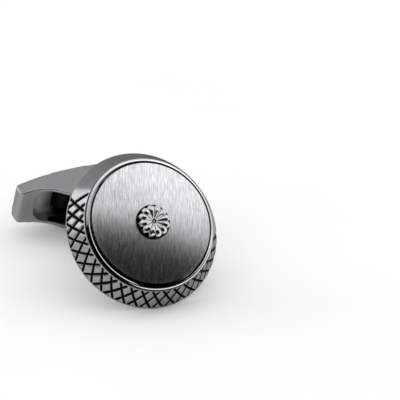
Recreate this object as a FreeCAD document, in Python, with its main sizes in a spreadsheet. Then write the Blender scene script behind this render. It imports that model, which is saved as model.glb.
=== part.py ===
import FreeCAD, Part
import math
import os
import re

import Sketcher

# A round cufflink: a knurled case with a brushed disc and a daisy rosette in front, a curved arm
# behind it, and a hollow whale-tail toggle that swivels on a pin at the arm's end.
#
# Each piece is modelled in its own natural frame and then placed. The head's frame has its origin
# in the middle of the case's widest circle, Z out of the face and Y towards the side that the arm
# bends to. The toggle's frame has its origin on the pivot, Z along the pin and Y away from the arm.

SIZES = {
    # Case: border at the back, sloping knurled band, fine line, bright lip, and the seats inside
    "rim_radius": 9.0,
    "border_height": 0.45,
    "border_bevel": 0.25,
    "band_step": 0.06,
    "band_height": 2.2,
    "band_run": 1.34,
    "lip_line_width": 0.1,
    "lip_line_depth": 0.15,
    "lip_width": 0.44,
    "lip_height": 0.22,
    "lip_bevel": 0.12,
    "disc_seat_depth": 0.5,
    "disc_seat_width": 0.8,
    "rim_wall": 0.95,
    "plate_thickness": 0.8,
    # Diamond knurl on the band, with a plain stretch that faces up
    "knurl_depth": 0.2,
    "knurl_width": 0.32,
    "knurl_lean_angle": 35.0,
    "knurl_start_angle": 110.2,
    "knurl_end_angle": 310.2,
    # Brushed disc on its bedding
    "disc_gap": 0.1,
    "bedding_thickness": 0.1,
    "disc_stand": 0.6,
    "disc_edge_bevel": 0.1,
    "disc_crown": 0.45,
    # Rosette, riveted through the disc
    "rosette_seat_radius": 1.65,
    "rosette_seat_depth": 0.05,
    "rosette_seat_play": 0.05,
    "rosette_radius": 2.0,
    "rosette_foot": 0.1,
    "rosette_base_height": 0.24,
    "rosette_rim_height": 0.52,
    "rosette_rim_bevel": 0.18,
    "rosette_height": 0.92,
    "rosette_dimple_radius": 0.22,
    "rosette_dimple_depth": 0.16,
    "petal_line_depth": 0.08,
    "petal_line_end_depth": 0.34,
    "petal_line_width": 0.22,
    "scoop_start": 0.42,
    "scoop_stop": 1.5,
    "scoop_radius": 0.28,
    "scoop_depth": 0.2,
    "scoop_taper_angle": 45.0,
    "stem_radius": 0.6,
    "stem_fit": 0.02,
    "washer_radius": 1.4,
    "washer_thickness": 0.3,
    "rivet_radius": 1.0,
    "rivet_height": 0.25,
    # Back plate and the arm's riveted tenon
    "plate_fit": 0.01,
    "plate_dome": 0.75,
    "plate_boss_radius": 3.1,
    "tenon_radius": 1.1,
    "tenon_fit": 0.01,
    "tenon_head_radius": 1.6,
    "tenon_head_height": 0.3,
    # Arm: two bends and a straight end, with a section that is flat inside and round at the belly
    "arm_root_curve": 20.0,
    "arm_root_angle": 28.0,
    "arm_end_curve": 9.5,
    "arm_end_angle": 32.0,
    "arm_straight": 1.5,
    "arm_root_width": 2.8,
    "arm_root_depth": 5.2,
    "arm_mid_width": 2.1,
    "arm_mid_depth": 4.4,
    "arm_end_width": 1.94,
    "arm_end_depth": 3.7,
    "eye_flat": 0.04,
    # Toggle: plan of two flukes with a bulge over the pin, crowned faces and an open pocket
    "fluke_half_length": 6.85,
    "fluke_start": 5.6,
    "fluke_inset": 2.15,
    "bulge_radius": 2.8,
    "pin_inset": 0.85,
    "toggle_depth": 4.1,
    "tip_depth": 3.7,
    "tip_end_round": 0.45,
    "toggle_height": 5.7,
    "tip_height": 5.0,
    "tip_top_round": 0.3,
    "tip_bottom_round": 1.0,
    "pocket_half_length": 4.7,
    "pocket_corner_round": 1.6,
    "pocket_play": 0.5,
    "pocket_floor": 3.2,
    # Pivot pin and the leaf spring behind the arm's eye
    "pin_radius": 0.5,
    "pin_fit": 0.05,
    "pin_head": 0.04,
    "spring_thickness": 0.2,
    "spring_width": 3.0,
    "spring_half_length": 2.0,
    "spring_foot": 0.4,
    "spring_gap": 0.06,
    # One overrun serves all cuts
    "cut_overrun": 1.0,
}
KNURLS_PER_TURN = 37
BEND_STEPS = 6
DOME_CHORDS = 3
PETALS = 12
FULL_TURN = 360
QUARTER_TURN = 90
ANGLE_FINENESS = 1e-6
X_AXIS = FreeCAD.Vector(1, 0, 0)
STRIP_SHARE = 0.75
BELLY_SHARE = 0.375
BELLY_ANGLE = 70
KNURL_FOOT_SHARE = 0.02
KNURL_HEAD_SHARE = 0.93
ROUND_SHARE = 0.75
HALF_PITCH_SHARE = 0.5

doc = FreeCAD.newDocument("cufflink")
sheet = doc.addObject("Spreadsheet::Sheet", "dims")
for row, (word, number) in enumerate(SIZES.items(), start=1):
    sheet.set(f"A{row}", word)
    sheet.set(f"B{row}", str(number))
    sheet.setAlias(f"B{row}", word)
doc.recompute()


def cells(formula):
    """A formula in the names of the sizes, as an expression on the sheet's cells."""
    return re.sub(r"[a-z_]+", lambda word: "dims." * (word[0] in SIZES) + word[0], formula)


def size(formula):
    """The value of a formula in the names of the sizes."""
    return float(sheet.evalExpression(cells(formula)))


def new_sketch(body, name, plane, place=None):
    """An empty sketch on one of the body's own planes, moved or turned from it by place."""
    sketch = body.newObject("Sketcher::SketchObject", name)
    support = [feature for feature in body.Origin.OriginFeatures if feature.Role == plane]
    sketch.AttachmentSupport = (support[0], [""])
    sketch.MapMode = "FlatFace"
    if place:
        sketch.AttachmentOffset = place
    return sketch


def bind(sketch, constraint, formula):
    """Add a constraint whose value is a formula on the sheet."""
    index = sketch.addConstraint(constraint)
    sketch.setExpression(f"Constraints[{index}]", cells(formula))


def pin_corner(sketch, edge, end, corner):
    """Hold one end of an edge at a corner given as two formulas."""
    for formula, kind, axis in ((corner[0], "DistanceX", -2), (corner[1], "DistanceY", -1)):
        if formula == "0":
            sketch.addConstraint(Sketcher.Constraint("PointOnObject", edge, end, axis))
        else:
            bind(sketch, Sketcher.Constraint(kind, -1, 1, edge, end, size(formula)), formula)


def add_edge(sketch, start, stop, corner):
    """Add the line or arc that leads to a corner, and say which of its ends comes first."""
    if len(corner) == 2:
        sketch.addGeometry(Part.LineSegment(start, stop))
        return 1, 2
    radius = size(corner[2])
    left_turn = corner[3] > 0
    chord = stop - start
    rise = math.sqrt(max(radius ** 2 - chord.Length ** 2 / 4, 0))
    aside = FreeCAD.Vector(-chord.y, chord.x, 0).normalize()
    centre = (start + stop) / 2 + aside * (rise if left_turn else -rise)
    first, last = (start, stop) if left_turn else (stop, start)
    angles = [math.atan2(point.y - centre.y, point.x - centre.x) for point in (first, last)]
    circle = Part.Circle(centre, FreeCAD.Vector(0, 0, 1), radius)
    edge = sketch.addGeometry(Part.ArcOfCircle(circle, *angles))
    bind(sketch, Sketcher.Constraint("Radius", edge, radius), corner[2])
    return (1, 2) if left_turn else (2, 1)


def outline(body, name, plane, corners, place=None):
    """A sketch through corners written as formulas. A corner of two formulas is reached by a line,
    and one that adds a radius and a turn, 1 to the left or -1 to the right, by an arc."""
    sketch = new_sketch(body, name, plane, place)
    points = [FreeCAD.Vector(size(corner[0]), size(corner[1]), 0) for corner in corners]
    ends = [add_edge(sketch, points[i - 1], points[i], corners[i]) for i in range(len(corners))]
    for edge, (_, last) in enumerate(ends):
        pin_corner(sketch, edge, last, corners[edge])
        following = (edge + 1) % len(ends)
        sketch.addConstraint(Sketcher.Constraint("Coincident", edge, last, following, ends[following][0]))
    return sketch


def circle_sketch(body, name, plane, radius, place=None):
    """A circle round the origin of the plane."""
    sketch = new_sketch(body, name, plane, place)
    middle = FreeCAD.Vector(0, 0, 0)
    sketch.addGeometry(Part.Circle(middle, FreeCAD.Vector(0, 0, 1), size(radius)))
    sketch.addConstraint(Sketcher.Constraint("Coincident", 0, 3, -1, 1))
    bind(sketch, Sketcher.Constraint("Radius", 0, size(radius)), radius)
    return sketch


def new_body(label):
    body = doc.addObject("PartDesign::Body", label)
    body.Label = label
    return body


def turn(body, name, corners, kind="PartDesign::Revolution"):
    """A profile in radius and height, turned about the body's Z axis."""
    sketch = outline(body, name + "_profile", "XZ_Plane", corners)
    feature = body.newObject(kind, name)
    feature.Profile = sketch
    feature.ReferenceAxis = (sketch, ["V_Axis"])
    feature.Angle = FULL_TURN
    return feature


def extrude(body, kind, sketch, length, name):
    """A pad or pocket that reaches half its length to each side of the sketch."""
    feature = body.newObject(kind, name)
    feature.Profile = sketch
    feature.SideType = "Symmetric"
    feature.setExpression("Length", cells(length))
    return feature


def tilted(y, z, angle):
    """A place in the YZ plane, turned about X."""
    return FreeCAD.Placement(FreeCAD.Vector(0, size(y), size(z)), FreeCAD.Rotation(X_AXIS, angle))


# Heights in the head's frame
BACK_FACE = "-border_height"
BOSS_FACE = "-(border_height + plate_dome)"
PLATE_TOP = "(plate_thickness - border_height)"
LIP_TOP = "(band_height + lip_height)"
DISC_SEAT = "(band_height - disc_seat_depth)"
DISC_BOTTOM = f"({DISC_SEAT} + bedding_thickness)"
DISC_EDGE_TOP = f"({LIP_TOP} + disc_stand)"

# Radii in the head's frame
BAND_TOP = "(rim_radius - band_run)"
LIP_OUTSIDE = f"({BAND_TOP} - lip_line_width)"
PLATE_RADIUS = "(rim_radius - rim_wall)"
CASE_BORE = f"({LIP_OUTSIDE} - lip_width)"
SEAT_BORE = f"({CASE_BORE} - disc_seat_width)"
BAND_FOOT = "(rim_radius - band_step)"
DISC_RADIUS = f"({CASE_BORE} - disc_gap)"
DOME_REACH = f"({DISC_RADIUS} - disc_edge_bevel)"
DOME_RADIUS = f"(({DOME_REACH}^2 + disc_crown^2) / (2 * disc_crown))"
DOME_DROP = f"({DOME_RADIUS} - sqrt({DOME_RADIUS}^2 - rosette_seat_radius^2))"
ROSETTE_SEAT = f"({DISC_EDGE_TOP} + disc_crown - {DOME_DROP} - rosette_seat_depth)"


def knurl_groove(angle, lean):
    """A straight V cutter that leans aside as it runs up the sloping band."""
    foot = FreeCAD.Vector(size(BAND_FOOT), 0, 0)
    slope = FreeCAD.Vector(size(BAND_TOP), 0, size("band_height")) - foot
    middle_share = (KNURL_FOOT_SHARE + KNURL_HEAD_SHARE) / 2
    middle = foot + slope * middle_share
    around = slope.Length * size("tan(knurl_lean_angle)") / middle.x
    ends = []
    for share in (KNURL_FOOT_SHARE, KNURL_HEAD_SHARE):
        heading = math.degrees(lean * (share - middle_share) * around)
        ends.append(FreeCAD.Rotation(FreeCAD.Vector(0, 0, -1), heading).multVec(foot + slope * share))
    run = ends[1] - ends[0]
    out = FreeCAD.Vector(slope.z, 0, -slope.x).normalize()
    aside = run.cross(out).normalize()
    floor = middle - out * size("knurl_depth") - run / 2
    rise = size("knurl_depth + cut_overrun")
    half = rise * size("knurl_width / knurl_depth") / 2
    edges = [floor + out * rise + aside * (side * half) for side in (-1, 1)]
    groove = Part.Face(Part.makePolygon([floor, edges[0], edges[1], floor])).extrude(run)
    groove.rotate(FreeCAD.Vector(0, 0, 0), FreeCAD.Vector(0, 0, -1), angle - QUARTER_TURN)
    return groove


def bezel():
    """The case: turned ring with a lip, cut by two crossing rows of knurl grooves."""
    ring = new_body("bezel_ring")
    turn(ring, "bezel_turning", [
        (PLATE_RADIUS, BACK_FACE),
        ("rim_radius - border_bevel", BACK_FACE),
        ("rim_radius", f"{BACK_FACE} + border_bevel"),
        ("rim_radius", "0"),
        (BAND_FOOT, "0"),
        (BAND_TOP, "band_height"),
        (f"{BAND_TOP} - lip_line_width / 2", "band_height - lip_line_depth"),
        (LIP_OUTSIDE, "band_height"),
        (LIP_OUTSIDE, f"{LIP_TOP} - lip_bevel"),
        (f"{LIP_OUTSIDE} - lip_bevel", LIP_TOP),
        (f"{CASE_BORE} + lip_bevel", LIP_TOP),
        (CASE_BORE, f"{LIP_TOP} - lip_bevel"),
        (CASE_BORE, DISC_SEAT),
        (SEAT_BORE, DISC_SEAT),
        (SEAT_BORE, PLATE_TOP),
        (PLATE_RADIUS, PLATE_TOP),
    ])
    pitch = FULL_TURN / KNURLS_PER_TURN
    count = int(size("knurl_end_angle - knurl_start_angle") / pitch + HALF_PITCH_SHARE)
    span = (count - HALF_PITCH_SHARE) * pitch
    first = size("knurl_start_angle + knurl_end_angle") / 2 - span / 2
    cut = ring
    for name, lean, lag in (("right", 1, 0), ("left", -1, HALF_PITCH_SHARE)):
        grooves = doc.addObject("Part::Feature", name + "_hand_grooves")
        angles = [first + (i + lag) * pitch for i in range(count)]
        grooves.Shape = Part.makeCompound([knurl_groove(angle, lean) for angle in angles])
        knurled = doc.addObject("Part::Cut", name + "_hand_knurl")
        knurled.Base = cut
        knurled.Tool = grooves
        cut = knurled
    cut.Label = "bezel"
    return cut


def face_disc():
    """The domed disc, with a flat in the middle for the rosette and a hole for its stem."""
    body = new_body("face_disc")
    hole = "stem_radius + stem_fit"
    dome = []
    for step in range(DOME_CHORDS + 1):
        radius = f"({DOME_REACH} + (rosette_seat_radius - {DOME_REACH}) * {step / DOME_CHORDS})"
        drop = f"({DOME_RADIUS} - sqrt({DOME_RADIUS}^2 - {radius}^2))"
        dome.append((radius, f"{DISC_EDGE_TOP} + disc_crown - {drop}"))
    turn(body, "disc_turning", [
        (hole, DISC_BOTTOM),
        (DISC_RADIUS, DISC_BOTTOM),
        (DISC_RADIUS, f"{DISC_EDGE_TOP} - disc_edge_bevel"),
        *dome,
        ("rosette_seat_radius", ROSETTE_SEAT),
        (hole, ROSETTE_SEAT),
    ])
    return body


def bedding_ring():
    """The ring of adhesive between the case's ledge and the disc."""
    body = new_body("bedding_ring")
    turn(body, "bedding_turning", [
        (SEAT_BORE, DISC_SEAT),
        (DISC_RADIUS, DISC_SEAT),
        (DISC_RADIUS, DISC_BOTTOM),
        (SEAT_BORE, DISC_BOTTOM),
    ])
    return body


def ring_of(body, feature, name, count):
    """Copies of a feature all the way round the body's Z axis."""
    pattern = body.newObject("PartDesign::PolarPattern", name)
    pattern.Originals = [feature]
    axis = [item for item in body.Origin.OriginFeatures if item.Role == "Z_Axis"]
    pattern.Axis = (axis[0], [""])
    pattern.Angle = FULL_TURN
    pattern.Occurrences = count
    body.Tip = pattern
    return pattern


def petal_line(body):
    """The V line between two petals, which gets deeper from the middle out to the rim."""
    drop = "(rosette_height - rosette_rim_height + petal_line_end_depth - petal_line_depth)"
    fall = math.degrees(math.atan2(size(drop), size("rosette_radius")))
    half_pitch = FreeCAD.Rotation(FreeCAD.Vector(0, 1, 0), FULL_TURN / PETALS / 2)
    place = FreeCAD.Placement(FreeCAD.Vector(0, 0, 0), half_pitch)
    place = place.multiply(tilted(f"{ROSETTE_SEAT} + rosette_height - petal_line_depth", "0", fall))
    rise = "(petal_line_end_depth + cut_overrun)"
    half = f"(petal_line_width / 2 * {rise} / petal_line_end_depth)"
    notch = outline(body, "petal_notch", "YZ_Plane", [("0", "0"), (half, rise), (f"-{half}", rise)], place)
    return extrude(body, "PartDesign::Pocket", notch, "4 * rosette_radius", "petal_line")


def petal_scoop(body):
    """The teardrop hollow of one petal, sunk with sloping sides square to the petal."""
    fall = "(rosette_height - rosette_rim_height)"
    run = "(rosette_radius - rosette_rim_bevel - rosette_dimple_radius)"
    peak = f"{ROSETTE_SEAT} + rosette_height + rosette_dimple_radius * {fall} / {run}"
    slope = FreeCAD.Rotation(FreeCAD.Vector(0, 1, 0), size(f"atan({fall} / {run})"))
    place = FreeCAD.Placement(FreeCAD.Vector(0, 0, size(peak)), slope)
    rounding = f"scoop_radius * {ROUND_SHARE}"
    teardrop = outline(body, "teardrop", "XY_Plane", [
        ("scoop_start", "0"),
        ("scoop_stop", "-scoop_radius"),
        (f"scoop_stop + {rounding}", f"-{rounding}"),
        ("scoop_stop + scoop_radius", "0"),
        (f"scoop_stop + {rounding}", rounding),
        ("scoop_stop", "scoop_radius"),
    ], place)
    scoop = body.newObject("PartDesign::Pocket", "scoop")
    scoop.Profile = teardrop
    scoop.setExpression("Length", cells("scoop_depth"))
    scoop.setExpression("TaperAngle", cells("-scoop_taper_angle"))
    return scoop


def rosette():
    """The daisy: a turned button and stem, lines that part the petals and a scoop in each petal."""
    body = new_body("rosette")
    rivet_top = f"{DISC_BOTTOM} - washer_thickness"
    base = "rosette_seat_radius - rosette_seat_play"
    top = f"{ROSETTE_SEAT} + rosette_height"
    rim = f"{ROSETTE_SEAT} + rosette_rim_height"
    turn(body, "rosette_button", [
        ("0", f"{rivet_top} - rivet_height"),
        ("rivet_radius", f"{rivet_top} - rivet_height"),
        ("rivet_radius", rivet_top),
        ("stem_radius", rivet_top),
        ("stem_radius", ROSETTE_SEAT),
        (base, ROSETTE_SEAT),
        (base, f"{ROSETTE_SEAT} + rosette_foot"),
        ("rosette_radius", f"{ROSETTE_SEAT} + rosette_base_height"),
        ("rosette_radius", f"{rim} - rosette_rim_bevel"),
        ("rosette_radius - rosette_rim_bevel", rim),
        ("rosette_dimple_radius", top),
        ("0", f"{top} - rosette_dimple_depth"),
    ])
    doc.recompute()
    ring_of(body, petal_scoop(body), "scoops", PETALS)
    ring_of(body, petal_line(body), "petal_lines", PETALS)
    return body


def rosette_washer():
    """The washer under the riveted end of the rosette's stem."""
    body = new_body("rosette_washer")
    hole = "stem_radius + stem_fit"
    low = f"{DISC_BOTTOM} - washer_thickness"
    turn(body, "washer_turning", [
        (hole, low), ("washer_radius", low), ("washer_radius", DISC_BOTTOM), (hole, DISC_BOTTOM),
    ])
    return body


def back_plate():
    """The plate in the back of the case, with a flat boss and a hole for the arm's tenon."""
    body = new_body("back_plate")
    hole = "tenon_radius + tenon_fit"
    edge = f"{PLATE_RADIUS} - plate_fit"
    turn(body, "plate_turning", [
        (hole, BOSS_FACE),
        ("plate_boss_radius", BOSS_FACE),
        (edge, BACK_FACE),
        (edge, PLATE_TOP),
        (hole, PLATE_TOP),
    ])
    return body


# The arm's centre line runs in the head's YZ plane, down from the boss, and ends on the pivot
END_TURN = "(arm_root_angle + arm_end_angle)"
BEND_Y = "(arm_root_curve * (1 - cos(arm_root_angle)))"
BEND_Z = f"({BOSS_FACE} - arm_root_curve * sin(arm_root_angle))"
STRAIGHT_Y = f"({BEND_Y} + arm_end_curve * (cos(arm_root_angle) - cos({END_TURN})))"
STRAIGHT_Z = f"({BEND_Z} - arm_end_curve * (sin({END_TURN}) - sin(arm_root_angle)))"
PIVOT_Y = f"({STRAIGHT_Y} + arm_straight * sin({END_TURN}))"
PIVOT_Z = f"({STRAIGHT_Z} - arm_straight * cos({END_TURN}))"
EYE_RADIUS = "(arm_end_width / 2)"


def arm_section(body, name, width, depth, place):
    """A section with a flat strip inside, convex sides and a round belly that runs into them."""
    strip = f"({width} * {STRIP_SHARE} / 2)"
    belly = f"({width} * {BELLY_SHARE})"
    low_x = f"({belly} * sin({BELLY_ANGLE}))"
    low_y = f"({belly} * (1 - cos({BELLY_ANGLE})) - {depth} / 2)"
    across = f"({strip} - {low_x})"
    along = f"({depth} / 2 - {low_y})"
    reach = f"({along} * cos({BELLY_ANGLE}) - {across} * sin({BELLY_ANGLE}))"
    bulge = f"(({across}^2 + {along}^2) / (2 * {reach}))"
    return outline(body, name, "XY_Plane", [
        (f"-{strip}", f"{depth} / 2"),
        (f"-{low_x}", low_y, bulge, 1),
        ("0", f"-{depth} / 2", belly, 1),
        (low_x, low_y, belly, 1),
        (strip, f"{depth} / 2", bulge, 1),
    ], place)


def arm():
    """The curved arm with its riveted tenon, and an eye whose end is round with a small flat."""
    body = new_body("arm")
    end_angle = size(END_TURN)
    sections = []
    for step in range(BEND_STEPS):
        share = step / BEND_STEPS
        angle = f"(arm_root_angle * {share})"
        y = f"arm_root_curve * (1 - cos({angle}))"
        z = f"{BOSS_FACE} - arm_root_curve * sin({angle})"
        width = f"(arm_root_width + (arm_mid_width - arm_root_width) * {share})"
        depth = f"(arm_root_depth + (arm_mid_depth - arm_root_depth) * {share})"
        sections.append(arm_section(body, "root_bend", width, depth, tilted(y, z, size(angle))))
    for step in range(BEND_STEPS + 1):
        share = step / BEND_STEPS
        angle = f"(arm_root_angle + arm_end_angle * {share})"
        y = f"{BEND_Y} + arm_end_curve * (cos(arm_root_angle) - cos({angle}))"
        z = f"{BEND_Z} - arm_end_curve * (sin({angle}) - sin(arm_root_angle))"
        width = f"(arm_mid_width + (arm_end_width - arm_mid_width) * {share})"
        depth = f"(arm_mid_depth + (arm_end_depth - arm_mid_depth) * {share})"
        sections.append(arm_section(body, "end_bend", width, depth, tilted(y, z, size(angle))))
    past_eye = f"(arm_straight + {EYE_RADIUS} + cut_overrun)"
    y = f"{STRAIGHT_Y} + {past_eye} * sin({END_TURN})"
    z = f"{STRAIGHT_Z} - {past_eye} * cos({END_TURN})"
    place = tilted(y, z, end_angle)
    sections.append(arm_section(body, "straight_end", "arm_end_width", "arm_end_depth", place))
    doc.recompute()
    loft = body.newObject("PartDesign::AdditiveLoft", "arm_loft")
    loft.Profile = sections[0]
    loft.Sections = [(section, [""]) for section in sections[1:]]
    loft.Ruled = True
    turn(body, "tenon", [
        ("0", BOSS_FACE),
        ("tenon_radius", BOSS_FACE),
        ("tenon_radius", PLATE_TOP),
        ("tenon_head_radius", PLATE_TOP),
        ("tenon_head_radius", f"{PLATE_TOP} + tenon_head_height"),
        ("0", f"{PLATE_TOP} + tenon_head_height"),
    ])
    plan = tilted(PIVOT_Y, PIVOT_Z, end_angle - QUARTER_TURN)
    reach = f"({EYE_RADIUS} + cut_overrun)"
    flat = f"({EYE_RADIUS} - eye_flat)"
    flat_half = f"sqrt({EYE_RADIUS}^2 - {flat}^2)"
    beyond = outline(body, "eye_end", "XY_Plane", [
        (EYE_RADIUS, "0"),
        (flat_half, flat, EYE_RADIUS, 1),
        (f"-{flat_half}", flat),
        (f"-{EYE_RADIUS}", "0", EYE_RADIUS, 1),
        (f"-{reach}", "0"),
        (f"-{reach}", f"{reach} + cut_overrun"),
        (reach, f"{reach} + cut_overrun"),
        (reach, "0"),
    ], plan)
    through = "arm_end_depth + 2 * cut_overrun"
    extrude(body, "PartDesign::Pocket", beyond, through, "eye_rounding")
    bore = circle_sketch(body, "eye_circle", "XY_Plane", "pin_radius + pin_fit", plan)
    extrude(body, "PartDesign::Pocket", bore, through, "eye_bore")
    return body


# Plan of the toggle, in the toggle's frame
BULGE_EDGE = "-pin_inset"
FLUKE_EDGE = "(fluke_inset - pin_inset)"
TIP_EDGE = "(tip_depth - pin_inset)"
BACK_EDGE = "(toggle_depth - pin_inset)"
FLOOR_EDGE = "(pocket_floor - pin_inset)"
CURVE_SUM = "((fluke_start^2 + fluke_inset^2) / (2 * fluke_inset))"
BULGE_SHARE = f"(bulge_radius / {CURVE_SUM})"
TIP_SIDE = "(fluke_half_length - tip_end_round)"
BACK_RISE = "(toggle_depth - tip_depth)"
BACK_CURVE = f"(({TIP_SIDE}^2 + {BACK_RISE}^2) / (2 * {BACK_RISE}))"
CROWN_RISE = "((toggle_height - tip_height) / 2)"
TOP_SIDE = "(fluke_half_length - tip_top_round)"
TOP_CURVE = f"(({TOP_SIDE}^2 + {CROWN_RISE}^2) / (2 * {CROWN_RISE}))"
BOTTOM_SIDE = "(fluke_half_length - tip_bottom_round)"
BOTTOM_CURVE = f"(({BOTTOM_SIDE}^2 + {CROWN_RISE}^2) / (2 * {CROWN_RISE}))"
POCKET_HALF = "(arm_end_depth / 2 + pocket_play)"


def toggle_block(body):
    """The toggle seen from the head: long faces crowned towards the middle and rounded tips."""
    top, bottom = "tip_height / 2", "-tip_height / 2"
    upper, lower = f"{top} - tip_top_round", f"{bottom} + tip_bottom_round"
    front = outline(body, "toggle_front", "XZ_Plane", [
        ("fluke_half_length", upper),
        (TOP_SIDE, top, "tip_top_round", 1),
        (f"-{TOP_SIDE}", top, TOP_CURVE, 1),
        ("-fluke_half_length", upper, "tip_top_round", 1),
        ("-fluke_half_length", lower),
        (f"-{BOTTOM_SIDE}", bottom, "tip_bottom_round", 1),
        (BOTTOM_SIDE, bottom, BOTTOM_CURVE, 1),
        ("fluke_half_length", lower, "tip_bottom_round", 1),
    ])
    return extrude(body, "PartDesign::Pad", front, "2 * toggle_depth", "toggle_block")


def toggle_plan(body):
    """Cut the block to its plan: the double curve on the arm's side and the bow at the back."""
    over = "cut_overrun"
    near = "-(toggle_depth + cut_overrun)"
    far = "(toggle_depth + cut_overrun)"
    side = f"(fluke_half_length + {over})"
    joint = (f"fluke_start * {BULGE_SHARE}", f"fluke_inset * {BULGE_SHARE} - pin_inset")
    hollow = f"({CURVE_SUM} - bulge_radius)"
    inner = outline(body, "inner_plan", "XY_Plane", [
        (f"-{side}", near),
        (side, near),
        (side, f"{FLUKE_EDGE} + tip_end_round"),
        ("fluke_half_length", f"{FLUKE_EDGE} + tip_end_round"),
        (TIP_SIDE, FLUKE_EDGE, "tip_end_round", -1),
        ("fluke_start", FLUKE_EDGE),
        joint + (hollow, 1),
        (f"-{joint[0]}", joint[1], "bulge_radius", -1),
        ("-fluke_start", FLUKE_EDGE, hollow, 1),
        (f"-{TIP_SIDE}", FLUKE_EDGE),
        ("-fluke_half_length", f"{FLUKE_EDGE} + tip_end_round", "tip_end_round", -1),
        (f"-{side}", f"{FLUKE_EDGE} + tip_end_round"),
    ])
    extrude(body, "PartDesign::Pocket", inner, "2 * toggle_height", "inner_cut")
    outer = outline(body, "outer_plan", "XY_Plane", [
        (side, f"{TIP_EDGE} - tip_end_round"),
        (side, far),
        (f"-{side}", far),
        (f"-{side}", f"{TIP_EDGE} - tip_end_round"),
        ("-fluke_half_length", f"{TIP_EDGE} - tip_end_round"),
        (f"-{TIP_SIDE}", TIP_EDGE, "tip_end_round", -1),
        (TIP_SIDE, TIP_EDGE, BACK_CURVE, -1),
        ("fluke_half_length", f"{TIP_EDGE} - tip_end_round", "tip_end_round", -1),
    ])
    extrude(body, "PartDesign::Pocket", outer, "2 * toggle_height", "outer_cut")


def toggle_pocket(body):
    """Hollow the toggle from the arm's side down to a flat floor, with rounded ends."""
    straight = "(pocket_half_length - pocket_corner_round)"
    high = f"({POCKET_HALF} - pocket_corner_round)"
    mouth = outline(body, "pocket_mouth", "XZ_Plane", [
        ("pocket_half_length", high),
        (straight, POCKET_HALF, "pocket_corner_round", 1),
        (f"-{straight}", POCKET_HALF),
        ("-pocket_half_length", high, "pocket_corner_round", 1),
        ("-pocket_half_length", f"-{high}"),
        (f"-{straight}", f"-{POCKET_HALF}", "pocket_corner_round", 1),
        (straight, f"-{POCKET_HALF}"),
        ("pocket_half_length", f"-{high}", "pocket_corner_round", 1),
    ])
    mouth.setExpression("AttachmentOffset.Base.z", cells(f"-{FLOOR_EDGE}"))
    feature = body.newObject("PartDesign::Pocket", "pocket")
    feature.Profile = mouth
    feature.setExpression("Length", cells("toggle_depth + cut_overrun"))
    feature.Reversed = True
    return feature


def toggle_shell():
    """The hollow whale-tail toggle with a hole for the pin through both its walls."""
    body = new_body("toggle_shell")
    toggle_block(body)
    toggle_plan(body)
    doc.recompute()
    solid = body.Shape.Volume
    toggle_pocket(body)
    hole = circle_sketch(body, "pin_circle", "XY_Plane", "pin_radius")
    extrude(body, "PartDesign::Pocket", hole, "2 * toggle_height", "pin_hole")
    doc.recompute()
    if body.Shape.Volume >= solid:
        raise RuntimeError("the toggle's pocket cuts nothing")
    return body


def pivot_pin():
    """The pin, riveted to a slight dome at both ends."""
    body = new_body("pivot_pin")
    half = "toggle_height / 2"
    dome = "(pin_radius^2 + pin_head^2) / (2 * pin_head)"
    turn(body, "pin_turning", [
        ("0", f"-({half} + pin_head)"),
        ("pin_radius", f"-{half}", dome, 1),
        ("pin_radius", half),
        ("0", f"{half} + pin_head", dome, 1),
    ])
    return body


def detent_spring():
    """The leaf spring: two feet on the pocket's floor and a bow that comes close to the eye."""
    body = new_body("detent_spring")
    back = f"({FLOOR_EDGE} - spring_thickness)"
    bow_half = "(spring_half_length - spring_foot)"
    rise = f"({back} - {EYE_RADIUS} - spring_gap)"
    bow = f"(({bow_half}^2 + {rise}^2) / (2 * {rise}))"
    leaf = outline(body, "leaf", "XY_Plane", [
        ("spring_half_length", FLOOR_EDGE),
        (bow_half, FLOOR_EDGE),
        (f"-{bow_half}", FLOOR_EDGE, bow, -1),
        ("-spring_half_length", FLOOR_EDGE),
        ("-spring_half_length", back),
        (f"-{bow_half}", back),
        (bow_half, back, bow, 1),
        ("spring_half_length", back),
    ])
    extrude(body, "PartDesign::Pad", leaf, "spring_width", "leaf_width")
    return body


def surface_points(pieces, place):
    """Points on the surfaces of some pieces, in the head's frame."""
    fineness = size("pin_head")
    return [place.multVec(point) for piece in pieces for point in piece.Shape.tessellate(fineness)[0]]


def rest_angle(case_points, tail_points):
    """The turn about X at which the case's rim and the arm or toggle lie on one table."""
    low, high = 0, QUARTER_TURN
    while high - low > ANGLE_FINENESS:
        angle = (low + high) / 2
        turned = FreeCAD.Rotation(X_AXIS, angle)
        rim = min(turned.multVec(point).z for point in case_points)
        tail = min(turned.multVec(point).z for point in tail_points)
        if tail > rim:
            high = angle
        else:
            low = angle
    return angle


head = [bezel(), face_disc(), bedding_ring(), rosette(), rosette_washer(), back_plate(), arm()]
toggle = [toggle_shell(), pivot_pin(), detent_spring()]
doc.recompute()
for item in doc.Objects:
    if {"Invalid", "Error"} & set(item.State):
        raise RuntimeError(f"{item.Name} failed: {item.State}")

# Lay the cufflink down as it rests on a table, with the middle of its box over the origin
on_arm = tilted(PIVOT_Y, PIVOT_Z, size(END_TURN) - QUARTER_TURN)
case_points = surface_points(head[:1], FreeCAD.Placement())
tail_points = surface_points(head[-1:], FreeCAD.Placement()) + surface_points(toggle, on_arm)
lean_back = FreeCAD.Rotation(X_AXIS, rest_angle(case_points, tail_points))
lie = FreeCAD.Placement(FreeCAD.Vector(0, 0, 0), lean_back)
boxes = [piece.Shape.copy() for piece in head + toggle]
for shape, place in zip(boxes, [lie] * len(head) + [lie.multiply(on_arm)] * len(toggle)):
    shape.Placement = place
box = Part.makeCompound(boxes).optimalBoundingBox(False)
lie.Base = FreeCAD.Vector(-box.Center.x, -box.Center.y, -box.ZMin)
for piece in head:
    piece.Placement = lie
for piece in toggle:
    piece.Placement = lie.multiply(on_arm)

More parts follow.
